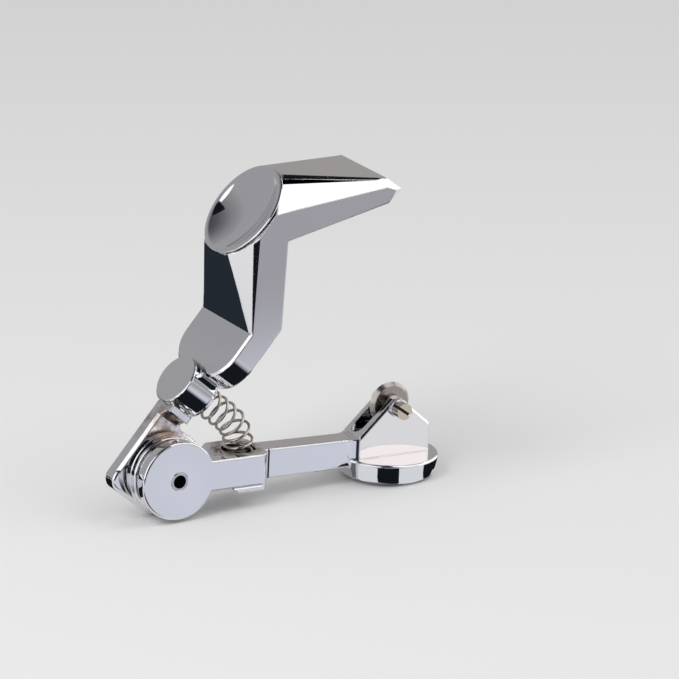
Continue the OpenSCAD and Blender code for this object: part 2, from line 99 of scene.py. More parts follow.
# %% Camera
camera_data = bpy.data.cameras.new("camera")
camera_data.sensor_width = 36
camera_data.lens = 319.862
camera_data.clip_start, camera_data.clip_end = 0.1, 20
camera = linked("camera", camera_data)
right = Vector((0.871198, -0.490917, -0.003766))
up = Vector((0.159831, 0.276370, 0.947668))
back = Vector((-0.464186, -0.826208, 0.319237))
turn = Matrix((right, up, back)).transposed().to_4x4()
camera.matrix_world = Matrix.Translation((-0.643148, -1.224566, 0.502202)) @ turn
bpy.context.scene.camera = camera
bpy.context.scene.view_settings.view_transform = "Standard"
print("camera distance in m:", round((camera.location - middle).length, 3))

# %% [markdown]
# ## Studio
# A mirror has no look of its own: it shows the room.  So the studio is built
# like a real one for metalware.  A pale floor and a pale room give the soft
# overall tone, and white and dark cards round the tool draw the bands that
# make chrome read as chrome.  The cards are hidden from the camera and cast
# no shadow, so they exist only as reflections.

# %% Node helpers
def wire(tree, kind, links=None, **settings):
    """Adds a node, sets its properties, and links or sets its inputs."""
    node = tree.nodes.new(kind)
    for key_name, value in settings.items():
        setattr(node, key_name, value)
    for socket, value in (links or {}).items():
        if isinstance(value, bpy.types.NodeSocket):
            tree.links.new(value, node.inputs[socket])
        else:
            node.inputs[socket].default_value = value
    return node


def number(tree, operation, *values):
    """The result of a Math node."""
    return wire(tree, "ShaderNodeMath", dict(enumerate(values)), operation=operation).outputs[0]


def vector(tree, operation, *values):
    """The result of a Vector Math node, which is a number for a length or a dot product."""
    node = wire(tree, "ShaderNodeVectorMath", dict(enumerate(values)), operation=operation)
    return node.outputs["Value" if operation in ("LENGTH", "DOT_PRODUCT") else "Vector"]


def colour_mix(tree, share, first, second):
    """The result of mixing two colours, each a socket or a value."""
    return wire(tree, "ShaderNodeMix", {0: share, 6: first, 7: second}, data_type="RGBA").outputs[2]


# %% Card helpers
def light_paint(name, colour, strength):
    """A surface that shows one flat tone, however it is lit."""
    material = bpy.data.materials.new(name)
    material.use_nodes = True
    material.cycles.emission_sampling = "NONE"
    tree = material.node_tree
    tree.nodes.clear()
    emission = wire(tree, "ShaderNodeEmission", {"Color": (*colour, 1), "Strength": strength})
    wire(tree, "ShaderNodeOutputMaterial", {"Surface": emission.outputs[0]})
    return material


def staged(name, points, faces, material):
    """A surface of the studio, which is no part of the tool."""
    mesh = bpy.data.meshes.new(name)
    mesh.from_pydata(points, [], faces)
    mesh.materials.append(material)
    obj = linked(name, mesh)
    return obj


def card(name, points, faces, material):
    """A surface that is seen only in reflections."""
    obj = staged(name, points, faces, material)
    obj.visible_camera = obj.visible_shadow = obj.visible_diffuse = False
    return obj


def sky_point(azimuth, elevation, distance):
    """A point seen from the tool's middle; azimuth 0 is +Y and 90 is +X."""
    a, e = math.radians(azimuth), math.radians(elevation)
    return middle + distance * Vector((math.sin(a) * math.cos(e), math.cos(a) * math.cos(e), math.sin(e)))


def sky_card(name, azimuths, elevations, distance, material, steps=8):
    """A card between two azimuths and two elevations, bent round the tool in flat steps."""
    columns, rows = ([ends[0] + (ends[1] - ends[0]) * i / steps for i in range(steps + 1)]
                     for ends in (azimuths, elevations))
    points = [tuple(sky_point(a, e, distance)) for e in rows for a in columns]
    width = steps + 1
    faces = [(j * width + i, j * width + i + 1, (j + 1) * width + i + 1, (j + 1) * width + i)
             for j in range(steps) for i in range(steps)]
    return card(name, points, faces, material)


def bench_card(name, corners_mm, lift_mm, material):
    """A card that lies on the bench, given its corners and its lift off the bench in mm."""
    points = [(x / 1000, y / 1000, bench_z + lift_mm / 1000) for x, y in corners_mm]
    return card(name, points, [tuple(range(len(points)))], material)


# %% Floor and room
floor_paint = bpy.data.materials.new("pale floor")
floor_paint.use_nodes = True
floor_shader = floor_paint.node_tree.nodes["Principled BSDF"]
floor_shader.inputs["Base Color"].default_value = (0.86, 0.86, 0.86, 1)
floor_shader.inputs["Roughness"].default_value = 0.6
floor_shader.inputs["Specular IOR Level"].default_value = 0.0
floor_half = 4.0
floor_points = [(x * floor_half, y * floor_half, bench_z) for x, y in ((-1, -1), (1, -1), (1, 1), (-1, 1))]
staged("floor", floor_points, [(0, 1, 2, 3)], floor_paint)
world = bpy.data.worlds.new("room")
bpy.context.scene.world = world
world.use_nodes = True
world.node_tree.nodes["Background"].inputs["Color"].default_value = (0.80, 0.80, 0.80, 1)
world.node_tree.nodes["Background"].inputs["Strength"].default_value = 0.66
print("floor at mm:", round(bench_z * 1000, 2))


# %% Tent over the tool
def tent_paint(name, rings):
    """A flat tone that depends on the elevation seen from the tool, from a list of (degrees, colour)."""
    material = light_paint(name, (1, 1, 1), 1.0)
    tree = material.node_tree
    place = wire(tree, "ShaderNodeTexCoord").outputs["Object"]
    direction = vector(tree, "NORMALIZE", vector(tree, "SUBTRACT", place, tuple(middle)))
    axes = wire(tree, "ShaderNodeSeparateXYZ", {"Vector": direction})
    ramp = wire(tree, "ShaderNodeValToRGB", {"Fac": axes.outputs["Z"]})
    stops = ramp.color_ramp.elements
    while len(stops) < len(rings):
        stops.new(0.5)
    for stop, (degrees, colour) in zip(stops, rings):
        stop.position = math.sin(math.radians(degrees))
        stop.color = (*colour, 1)
    tree.links.new(ramp.outputs["Color"], tree.nodes["Emission"].inputs["Color"])
    return material


tent = tent_paint("tent", [
    (34, (0.375, 0.370, 0.385)), (48, (0.250, 0.250, 0.265)), (62, (0.105, 0.105, 0.115)),
    (72, (0.060, 0.062, 0.068)), (88, (0.036, 0.038, 0.044))])
tent_card = sky_card("tent", (-180, 180), (-6, 90), 1.0, tent, steps=24)
print("tent faces:", len(tent_card.data.polygons))

# %% Cards in the sky
warm_wall = light_paint("warm wall", (1.0, 0.95, 0.93), 0.37)
white_card = light_paint("white card", (0.98, 0.99, 1.0), 1.4)
black_card = light_paint("black card", (0.60, 0.80, 1.0), 0.012)
blush_card = light_paint("blush card", (1.0, 0.93, 0.90), 1.25)

for name, azimuths, elevations, distance, paint in [
    ("warm_wall", (18, 60), (-6, 34), 0.95, warm_wall),
    ("left_softbox", (-140, -82), (-6, 52), 0.7, white_card),
    ("left_flag", (-104, -64), (53, 66), 0.8, black_card),
    ("right_softbox", (96, 166), (36, 78), 0.7, white_card),
    ("back_flag", (24, 92), (44, 90), 0.85, black_card),
    ("front_flag", (-180, -142), (-6, 62), 0.8, black_card),
    ("low_blush", (138, 164), (6, 30), 0.75, blush_card),
    ("edge_light", (60, 128), (-5, 38), 0.68, white_card),
]:
    sky_card(name, azimuths, elevations, distance, paint)
    print("card in the sky:", name)

# %% [markdown]
# The faces that look straight at the camera see the bench in front of the
# tool.  Near the tool it should be bright, and further out it should fall to
# the grey of the wall, so the front card shades from one to the other.  Like
# a polished black board it is bright only where it is seen at a glance: walls
# that curve under look straight down into it and pick up dark bands.  Small
# cards round the foot give its upright wall the same play of light and dark.

# %% Cards on the bench
def board_paint(name, near_y, far_y, near, far):
    """A tone that shades along Y from near to far, and goes dark where it is looked straight into."""
    material = light_paint(name, near, 1.0)
    tree = material.node_tree
    place = wire(tree, "ShaderNodeTexCoord").outputs["Object"]
    axes = wire(tree, "ShaderNodeSeparateXYZ", {"Vector": place})
    share = wire(tree, "ShaderNodeMapRange", {"Value": axes.outputs["Y"], "From Min": near_y, "From Max": far_y},
                 interpolation_type="SMOOTHSTEP")
    tone = colour_mix(tree, share.outputs["Result"], (*near, 1), (*far, 1))
    black, dark_until, bright_from = (0.008, 0.010, 0.013), 0.46, 0.60
    glance = wire(tree, "ShaderNodeLayerWeight", {"Blend": 0.5})
    lit = wire(tree, "ShaderNodeMapRange", {"Value": glance.outputs["Facing"], "From Min": dark_until,
                                            "From Max": bright_from})
    board = colour_mix(tree, lit.outputs["Result"], (*black, 1), tone)
    tree.links.new(board, tree.nodes["Emission"].inputs["Color"])
    return material


front_paint = board_paint("front card", -0.05, -0.17, (0.68, 0.70, 0.79), (0.395, 0.39, 0.425))
navy_card = light_paint("navy card", (0.55, 0.75, 1.0), 0.035)
dim_card = light_paint("dim card", (0.85, 0.92, 1.0), 0.15)
glow_card = light_paint("glow card", (0.98, 0.97, 1.0), 0.83)
foot_glow = light_paint("foot glow", (0.93, 0.95, 1.0), 0.82)

for name, lift_mm, paint, corners_mm in [
    ("back_navy", 0.1, navy_card, [(-190, 70), (50, 70), (50, 330), (-190, 330)]),
    ("front_card", 0.1, front_paint, [(-40, -4), (400, -4), (400, -420), (-40, -420)]),
    ("front_left_dark", 0.2, black_card, [(21, -60), (-20, -36), (-450, -225), (-450, -370), (-15, -600)]),
    ("foot_dark", 0.2, black_card, [(54.4, -2.2), (52.2, -3.8), (50.5, -5.3), (48.9, -7.0), (53.0, -7.9),
                                    (54.6, -9.0), (57, -9.5), (58.5, -9.7), (59, -4)]),
    ("foot_left_glow", 0.15, foot_glow, [(42, 3.3), (52, 2.2), (53.4, -2.6), (48.5, -6.6), (42, -3)]),
    ("foot_right_glow", 0.15, foot_glow, [(59.2, -3.9), (58.9, -11.5), (73, -11.5), (73.5, -9), (66.9, -4)]),
    ("foot_dark_right", 0.2, black_card, [(66.9, -4.0), (73.5, -9), (82, -4), (82, 14), (75.6, 8), (73, -0.5)]),
    ("foot_dim_left", 0.2, dim_card, [(49.9, 4.6), (43, 9), (42, 5), (49.9, 3.4)]),
    ("rear_left_dark", 0.2, black_card, [(-60, 14), (-9, 14), (-9, 60), (-60, 60)]),
    ("head_glow", 0.2, glow_card, [(59, -12.5), (86, -12.5), (125, -62), (84, -62)]),
]:
    bench_card(name, corners_mm, lift_mm, paint)
    print("card on the bench:", name)


# %% Lamps
def soft_lamp(name, place, size, power):
    """A square lamp that faces the tool and shows in no mirror."""
    data = bpy.data.lights.new(name, "AREA")
    data.shape, data.size, data.energy = "SQUARE", size, power
    lamp = linked(name, data)
    lamp.location = place
    lamp.rotation_euler = (middle - Vector(place)).to_track_quat("-Z", "Y").to_euler()
    lamp.visible_glossy = False


for name, azimuth, elevation, size, power in [("key", -105, 48, 0.6, 4), ("fill", 130, 50, 0.7, 2)]:
    soft_lamp(name, sky_point(azimuth, elevation, 1.0), size, power)
    print("lamp:", name, power, "W")

# %% [markdown]
# ## Finishes
# Chrome plate is a smooth mirror, but a used tool shows fine wiping marks, a
# slight ripple where the casting was ground by hand, and a softer tone along
# its edges.  Each effect is a small node group, so that every metal on the
# tool can use it with its own values.

# %% Node group helper
def new_group(name, inputs, outputs):
    """A shader node group with named float or vector sockets."""
    group = bpy.data.node_groups.new(name, "ShaderNodeTree")
    for label, kind, value in inputs:
        socket = group.interface.new_socket(name=label, in_out="INPUT", socket_type="NodeSocket" + kind)
        if value is not None:
            socket.default_value = value
    for label, kind in outputs:
        group.interface.new_socket(name=label, in_out="OUTPUT", socket_type="NodeSocket" + kind)
    entry = group.nodes.new("NodeGroupInput")
    end = group.nodes.new("NodeGroupOutput")
    print("node group:", name)
    return group, entry.outputs, end.inputs


# %% Wiping marks
wiping, given, made = new_group(
    "wiping marks",
    [("Vector", "Vector", None), ("Scale", "Float", 900.0), ("Smudge scale", "Float", 60.0),
     ("Smooth", "Float", 0.05), ("Dull", "Float", 0.14)],
    [("Roughness", "Float"), ("Height", "Float")])
stretched = vector(wiping, "MULTIPLY", given["Vector"], (1.0, 0.25, 1.0))
scratches = wire(wiping, "ShaderNodeTexNoise", {"Vector": stretched, "Scale": given["Scale"], "Detail": 3.0,
                                               "Roughness": 0.6})
smudge = wire(wiping, "ShaderNodeTexNoise", {"Vector": given["Vector"], "Scale": given["Smudge scale"],
                                            "Detail": 4.0})
smudge_range = wire(wiping, "ShaderNodeMapRange", {
    "Value": smudge.outputs["Fac"], "From Min": 0.35, "From Max": 0.75, "To Min": given["Smooth"],
    "To Max": given["Dull"]})
wiping.links.new(smudge_range.outputs["Result"], made["Roughness"])
wiping.links.new(scratches.outputs["Fac"], made["Height"])

# %% Grinding ripple
ripple, given, made = new_group("grinding ripple", [("Vector", "Vector", None), ("Scale", "Float", 45.0)],
                                [("Height", "Float")])
waves = wire(ripple, "ShaderNodeTexNoise", {"Vector": given["Vector"], "Scale": given["Scale"], "Detail": 1.0})
ripple.links.new(waves.outputs["Fac"], made["Height"])

# %% Edge wear
edges, given, made = new_group("edge wear", [("Amount", "Float", 0.5)], [("Mask", "Float")])
point = wire(edges, "ShaderNodeNewGeometry")
band = wire(edges, "ShaderNodeMapRange", {"Value": point.outputs["Pointiness"], "From Min": 0.51,
                                         "From Max": 0.56, "To Min": 0.0, "To Max": given["Amount"]})
edges.links.new(band.outputs["Result"], made["Mask"])

# %% Turned rings
rings, given, made = new_group("turned rings", [("Vector", "Vector", None), ("Rings", "Float", 9000.0)],
                               [("Height", "Float")])
radius = vector(rings, "LENGTH", vector(rings, "MULTIPLY", given["Vector"], (1.0, 0.0, 1.0)))
grooves = number(rings, "SINE", number(rings, "MULTIPLY", radius, given["Rings"]))
rings.links.new(grooves, made["Height"])


# %% The metals
mark_mm = 0.0004


def raised(tree, height, distance_mm, normal):
    """The normal of a bump that tall, laid over an earlier normal if there is one."""
    bump = wire(tree, "ShaderNodeBump", {"Height": height, "Distance": distance_mm / 1000, "Strength": 1.0})
    if normal is not None:
        tree.links.new(normal, bump.inputs["Normal"])
    return bump.outputs["Normal"]


def metal(name, colour, edge_colour, smooth, dull, roll_mm=0.0, ripple_mm=0.0, ring_mm=0.0, ring_centre=(0, 0, 0)):
    """A plated or bare metal with wiping marks, and rolled edges, ripple or turned rings if asked for."""
    material = bpy.data.materials.new(name)
    material.use_nodes = True
    tree = material.node_tree
    shader = tree.nodes["Principled BSDF"]
    shader.inputs["Metallic"].default_value = 1.0
    place = wire(tree, "ShaderNodeTexCoord").outputs["Object"]
    marks = wire(tree, "ShaderNodeGroup", {"Vector": place, "Smooth": smooth, "Dull": dull}, node_tree=wiping)
    tree.links.new(marks.outputs["Roughness"], shader.inputs["Roughness"])
    worn = wire(tree, "ShaderNodeGroup", node_tree=edges)
    tone = colour_mix(tree, worn.outputs["Mask"], (*colour, 1), (*edge_colour, 1))
    tree.links.new(tone, shader.inputs["Base Color"])
    normal = None
    if roll_mm:
        normal = wire(tree, "ShaderNodeBevel", {"Radius": roll_mm / 1000}, samples=8).outputs["Normal"]
    if ripple_mm:
        swell = wire(tree, "ShaderNodeGroup", {"Vector": place}, node_tree=ripple)
        normal = raised(tree, swell.outputs["Height"], ripple_mm, normal)
    if ring_mm:
        centred = wire(tree, "ShaderNodeMapping", {"Vector": place, "Location": tuple(-c for c in ring_centre)})
        turned = wire(tree, "ShaderNodeGroup", {"Vector": centred.outputs["Vector"]}, node_tree=rings)
        normal = raised(tree, turned.outputs["Height"], ring_mm, normal)
    tree.links.new(raised(tree, marks.outputs["Height"], mark_mm, normal), shader.inputs["Normal"])
    print("metal:", name)
    return material


wheel_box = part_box("cutting_wheel")
wheel_centre = (Vector(wheel_box[0]) + Vector(wheel_box[1])) / 2
chrome = metal("bright chrome", (0.80, 0.80, 0.82), (0.86, 0.86, 0.87), 0.03, 0.08, roll_mm=0.5, ripple_mm=0.012)
pin_steel = metal("turned steel", (0.56, 0.56, 0.57), (0.66, 0.66, 0.66), 0.16, 0.28, ring_mm=0.002)
nickel = metal("warm nickel", (0.46, 0.39, 0.31), (0.74, 0.67, 0.56), 0.14, 0.24, ring_mm=0.002,
               ring_centre=wheel_centre)
spring_steel = metal("drawn spring wire", (0.46, 0.42, 0.375), (0.60, 0.56, 0.51), 0.06, 0.15)
tool_steel = metal("ground tool steel", (0.36, 0.325, 0.30), (0.56, 0.52, 0.48), 0.16, 0.28, ring_mm=0.004,
                   ring_centre=wheel_centre)
brass = metal("bush brass", (0.72, 0.52, 0.24), (0.80, 0.62, 0.34), 0.18, 0.3, ring_mm=0.003,
              ring_centre=wheel_centre)

# %% [markdown]
# ## Castings
# The measured model comes as loose triangles.  A polished casting needs two
# kinds of surface: flat facets that stay dead flat up to their edge, and
# curved walls that run on smoothly.  Each casting is copied, its triangles
# are joined and merged into faces, and an edge is marked sharp where it turns
# a real corner, or where two broad facets meet at any angle at all.
#
# The thin roll that buffing leaves on every corner is in the metal itself, as
# a Bevel node, because it is thinner than a Bevel modifier could cut cleanly
# here.  Where the buffing wheel cut harder it left true facets that taper
# along the edge, and these are cut into the mesh, two on each side of the
# hook.

# %% Sizes of the measured model
tilt = math.radians(3.1474)
jaw_open = math.radians(51)
mid_y = 0.007


def leaned(x, y, z):
    """A point of the level tool, leaned the way it stands on the bench."""
    return Vector((x * math.cos(tilt) + z * math.sin(tilt), y, -x * math.sin(tilt) + z * math.cos(tilt)))


print("lean in degrees:", round(math.degrees(tilt), 2), "jaw open:", round(math.degrees(jaw_open), 1))


# %% Buffed facets
def buffed_edge(work, first_mm, last_mm, outward_y, widths_mm):
    """Cuts a facet along one edge that tapers from end to end.

    Each end has two widths: on the face that looks along outward_y, and on the other one.
    """
    ends = [min(work.verts, key=lambda v: (v.co - Vector(place) / 1000).length) for place in (first_mm, last_mm)]
    edge = next(e for e in ends[0].link_edges if e.other_vert(ends[0]) is ends[1])
    corner = [end.co.copy() for end in ends]
    side_a, side_b = sorted((face.normal.copy() for face in edge.link_faces), key=lambda n: -n.y * outward_y)
    cut = 0.0002
    made = bmesh.ops.bevel(work, geom=[edge], offset=cut, offset_type="OFFSET", segments=1, profile=0.5,
                           affect="EDGES", clamp_overlap=False)
    for vert in made["verts"]:
        k = 0 if (vert.co - corner[0]).length < (vert.co - corner[1]).length else 1
        away = vert.co - corner[k]
        on_a = abs(away.dot(side_a)) < abs(away.dot(side_b))
        vert.co = corner[k] + away * (widths_mm[k][0 if on_a else 1] / 1000 / cut)
    work.normal_update()
    print("facet along an edge of", round((corner[1] - corner[0]).length * 1000, 1), "mm")


def far_side(place_mm):
    """The same place on the far side of the tool, which is its mirror image."""
    return place_mm[0], 2000 * mid_y - place_mm[1], place_mm[2]


hook_facets = []
for first, last, widths in [
    ((30.20, 2.20, 73.01), (55.27, -4.25, 70.01), ((2.9, 0.42), (0.75, 0.2))),
    ((19.19, -5.75, 60.09), (17.52, -5.75, 36.19), ((0.6, 1.25), (0.15, 0.4))),
]:
    hook_facets += [(first, last, -1, widths), (far_side(first), far_side(last), 1, widths)]


# %% Castings with true facets
def is_broad(face, least):
    """True for a flat facet, false for one strip of a curved wall."""
    return face.calc_area() / max(edge.calc_length() for edge in face.edges) > least


def faceted_copy(node_name, piece_name, material, buffed=()):
    """A copy of a measured casting with its flat facets and curved walls told apart."""
    strip_width, flat_area = 0.0011, 1.2e-5
    always_sharp, between_facets, beside_flat = 24, 1.2, 4.5
    merge_distance, same_plane = 2e-6, math.radians(0.6)
    mesh = NODES[node_name].data.copy()
    work = bmesh.new()
    work.from_mesh(mesh)
    bmesh.ops.remove_doubles(work, verts=work.verts, dist=merge_distance)
    bmesh.ops.dissolve_limit(work, angle_limit=same_plane, verts=work.verts, edges=work.edges)
    for facet in buffed:
        buffed_edge(work, *facet)
    corners = 0
    for edge in work.edges:
        if len(edge.link_faces) != 2:
            continue
        corner_angle = math.degrees(edge.calc_face_angle())
        facets = all(is_broad(face, strip_width) for face in edge.link_faces)
        flat_side = any(face.calc_area() > flat_area for face in edge.link_faces)
        if (corner_angle > always_sharp or (facets and corner_angle > between_facets)
                or (flat_side and corner_angle > beside_flat)):
            edge.smooth = False
            corners += 1
    for face in work.faces:
        face.smooth = face.calc_area() < flat_area
    work.to_mesh(mesh)
    work.free()
    mesh.materials.clear()
    mesh.materials.append(material)
    piece = linked(piece_name, mesh)
    piece.modifiers.new("even faces", "WEIGHTED_NORMAL").keep_sharp = True
    print(piece_name, "faces:", len(mesh.polygons), "sharp edges:", corners)
    return piece


arm_casting = faceted_copy("lower_arm", "arm_casting", chrome)
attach(arm_casting, "arm")
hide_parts("lower_arm")
jaw_casting = faceted_copy("lever", "jaw_casting", chrome, hook_facets)
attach(jaw_casting, "jaw")
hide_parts("lever")

# %% [markdown]
# ## Thumb rest
# The thumb rest is turned on a lathe: a shallow bowl inside a soft bead.  A
# mirror bowl shows every facet, so it is spun here from a fine profile, far
# finer than the measured solid needs, and laid exactly where that solid lies.

# %% Spin a profile
def spun(name, profile, steps, place, material):
    """Turns a profile of (radius, height) about Z, then lays it in place."""
    work = bmesh.new()
    ring = [[work.verts.new((r * math.cos(2 * math.pi * k / steps), r * math.sin(2 * math.pi * k / steps), z))
             for k in range(steps)] if r > 0 else [work.verts.new((0, 0, z))] for r, z in profile]
    for inner, outer in zip(ring, ring[1:]):
        for k in range(steps):
            n = (k + 1) % steps
            if len(inner) == 1:
                work.faces.new((inner[0], outer[k], outer[n]))
            elif len(outer) == 1:
                work.faces.new((inner[k], outer[0], inner[n]))
            else:
                work.faces.new((inner[k], outer[k], outer[n], inner[n]))
    bmesh.ops.recalc_face_normals(work, faces=work.faces)
    mesh = bpy.data.meshes.new(name)
    for face in work.faces:
        face.smooth = True
    work.to_mesh(mesh)
    work.free()
    mesh.transform(place)
    mesh.materials.append(material)
    mesh.set_sharp_from_angle(angle=math.radians(40))
    print(name, "faces:", len(mesh.polygons))
    return linked(name, mesh)


# %% Turned thumb rest
rest_r, rest_x, rest_z = 0.0126, 0.0625, 0.0271
rest_lip, rest_depth, rest_rim = 0.001, 0.003, 0.0013
bowl_edge, crest_r, outer_fall = 0.01095, 0.0117, 0.00045
ball = ((rest_r - rest_rim) ** 2 + rest_depth ** 2) / (2 * rest_depth)
bowl = [(r, ball - rest_depth - math.sqrt(ball ** 2 - r ** 2)) for r in (bowl_edge * i / 48 for i in range(49))]
bead_lean = math.asin(bowl_edge / ball)
bead_round = (crest_r - bowl_edge) / math.sin(bead_lean)
inside = [(crest_r - bead_round * math.sin(bead_lean * k / 6), -bead_round * (1 - math.cos(bead_lean * k / 6)))
          for k in range(5, -1, -1)]
outside = [(crest_r + (rest_r - crest_r) * math.sin(a), outer_fall * (math.cos(a) - 1))
           for a in (math.radians(degrees) for degrees in range(12, 91, 13))]
rest_shelf, spigot_inset, rest_sink, seat_gap = 0.0007, 0.0022, 0.0032, 0.00003
spigot_r, spigot_end = rest_r - spigot_inset, -rest_lip - rest_sink + seat_gap
under = [(rest_r - rest_shelf, -rest_lip), (spigot_r, -rest_lip), (spigot_r, spigot_end), (0, spigot_end)]
swing = Matrix.Rotation(tilt - jaw_open, 4, "Y") @ Matrix.Translation((rest_x, mid_y, rest_z))
thumb_dish = spun("thumb_dish", bowl + inside + outside + under, 160, swing, chrome)
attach(thumb_dish, "jaw")
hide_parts("thumb_rest")

# %% [markdown]
# ## Spring
# The compression spring leaves the closed cylinder on the jaw, bends through
# the angle that the jaw stands open, and drops into a pocket in the arm.  A
# coil follows a rule, so Geometry Nodes make it: a centre line with one
# rounded corner, and a wire that winds about it.

# %% Spring by Geometry Nodes
def coil_tree():
    """A wire wound about a bent line, with closed coils at both ends."""
    tree = bpy.data.node_groups.new("coil about a bent line", "GeometryNodeTree")
    for label, kind in [("Top", "Vector"), ("Corner", "Vector"), ("Bottom", "Vector"), ("Bend radius", "Float"),
                        ("Coils", "Float"), ("Coil radius", "Float"), ("Wire radius", "Float"),
                        ("End pitch", "Float"), ("Length", "Float"), ("Metal", "Material")]:
        tree.interface.new_socket(name=label, in_out="INPUT", socket_type="NodeSocket" + kind)
    tree.interface.new_socket(name="Geometry", in_out="OUTPUT", socket_type="NodeSocketGeometry")
    given = tree.nodes.new("NodeGroupInput").outputs
    end = tree.nodes.new("NodeGroupOutput").inputs

    # The centre line, with one rounded corner
    line = wire(tree, "GeometryNodeCurvePrimitiveLine", {"Start": given["Top"], "End": given["Bottom"]})
    three = wire(tree, "GeometryNodeResampleCurve", {"Curve": line.outputs[0], "Count": 3})
    index = wire(tree, "GeometryNodeInputIndex").outputs[0]
    is_corner = wire(tree, "FunctionNodeCompare", {2: index, 3: 1}, data_type="INT", operation="EQUAL")
    bent = wire(tree, "GeometryNodeSetPosition", {"Geometry": three.outputs[0], "Selection": is_corner.outputs[0],
                                                  "Position": given["Corner"]})
    axis = wire(tree, "GeometryNodeFilletCurve", {"Curve": bent.outputs[0], "Radius": given["Bend radius"],
                                                  "Count": 24}, mode="POLY")

    # One point of the wire for each step of a turn
    per_turn = 28.0
    points = number(tree, "MULTIPLY_ADD", given["Coils"], per_turn, 1.0)
    track = wire(tree, "GeometryNodeCurvePrimitiveLine", {"Start": (0, 0, 0), "End": (0, 0, 1)})
    straight = wire(tree, "GeometryNodeResampleCurve", {"Curve": track.outputs[0], "Count": points})
    turn_no = number(tree, "DIVIDE", index, per_turn)

    # Distance along the centre line: closed end coils, open coils between them
    first = number(tree, "MINIMUM", turn_no, 1.0)
    last_start = number(tree, "SUBTRACT", given["Coils"], 1.0)
    last = number(tree, "MAXIMUM", number(tree, "SUBTRACT", turn_no, last_start), 0.0)
    closed = number(tree, "ADD", first, last)
    opened = number(tree, "SUBTRACT", turn_no, closed)
    open_turns = number(tree, "SUBTRACT", given["Coils"], 2.0)
    open_run = number(tree, "ADD", given["Length"], number(tree, "MULTIPLY", given["End pitch"], -2.0))
    open_part = number(tree, "MULTIPLY", opened, number(tree, "DIVIDE", open_run, open_turns))
    run = number(tree, "ADD", open_part, number(tree, "MULTIPLY", closed, given["End pitch"]))

    # The wire's place round the centre line
    sample = wire(tree, "GeometryNodeSampleCurve", {"Curves": axis.outputs[0], "Length": run}, mode="LENGTH")
    outward = vector(tree, "NORMALIZE", vector(tree, "CROSS_PRODUCT", sample.outputs["Tangent"], (0, 1, 0)))
    angle = number(tree, "MULTIPLY", turn_no, 2 * math.pi)
    steps = []
    for direction, share in ((outward, "COSINE"), ((0, -1, 0), "SINE")):
        reach = number(tree, "MULTIPLY", number(tree, share, angle), given["Coil radius"])
        steps.append(wire(tree, "ShaderNodeVectorMath", {0: direction, "Scale": reach}, operation="SCALE").outputs[0])
    spot = vector(tree, "ADD", sample.outputs["Position"], vector(tree, "ADD", *steps))
    wound = wire(tree, "GeometryNodeSetPosition", {"Geometry": straight.outputs[0], "Position": spot})

    # The skin of the wire
    profile = wire(tree, "GeometryNodeCurvePrimitiveCircle", {"Resolution": 12, "Radius": given["Wire radius"]})
    skin = wire(tree, "GeometryNodeCurveToMesh", {"Curve": wound.outputs[0], "Profile Curve": profile.outputs[0],
                                                  "Fill Caps": True})
    smooth = wire(tree, "GeometryNodeSetShadeSmooth", {"Geometry": skin.outputs[0]})
    real = wire(tree, "GeometryNodeRealizeInstances", {"Geometry": smooth.outputs[0]})
    dressed = wire(tree, "GeometryNodeSetMaterial", {"Geometry": real.outputs[0], "Material": given["Metal"]})
    tree.links.new(dressed.outputs[0], end["Geometry"])
    return tree


def grown(name, tree, values):
    """Evaluates a tree on an empty mesh and keeps the result as a plain mesh."""
    holder = linked(name + "_holder", bpy.data.meshes.new(name + "_holder"))
    modifier = holder.modifiers.new("rule", "NODES")
    modifier.node_group = tree
    sockets = {item.name: item.identifier for item in tree.interface.items_tree if item.in_out == "INPUT"}
    for label, value in values.items():
        modifier[sockets[label]] = value
    bpy.context.view_layer.update()
    mesh = bpy.data.meshes.new_from_object(holder.evaluated_get(bpy.context.evaluated_depsgraph_get()))
    mesh.name = name
    bpy.data.objects.remove(holder)
    print(name, "faces:", len(mesh.polygons))
    return linked(name, mesh)


# %% The spring between its seats
spring_x = 0.0199
wire_d, coil_outer, coil_gap = 0.00075, 0.0039, 0.00006
bend_r = 0.011
cup_top, seat_w, pocket_floor = 0.0121, 0.0006, 0.0032
off_seat = wire_d / 2 + 1e-5

corner_z = spring_x * math.tan(jaw_open / 2)
corner = leaned(spring_x, mid_y, corner_z)
bottom = leaned(spring_x, mid_y, -pocket_floor + off_seat)
top_run = cup_top - seat_w - off_seat + corner_z
cup_dir = Vector((-math.sin(jaw_open), 0, math.cos(jaw_open)))
top = leaned(*(Vector((spring_x, mid_y, corner_z)) + cup_dir * top_run))
bend_in = bend_r * math.tan(jaw_open / 2)
length = (top_run - bend_in) + bend_r * jaw_open + (corner_z - bend_in + pocket_floor - off_seat)
spring_piece = grown("spring_coil", coil_tree(), {
    "Top": top, "Corner": corner, "Bottom": bottom, "Bend radius": bend_r, "Coils": 13.0,
    "Coil radius": coil_outer - wire_d / 2, "Wire radius": wire_d / 2, "End pitch": wire_d + coil_gap,
    "Length": length, "Metal": spring_steel})
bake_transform(spring_piece)
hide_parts("spring")
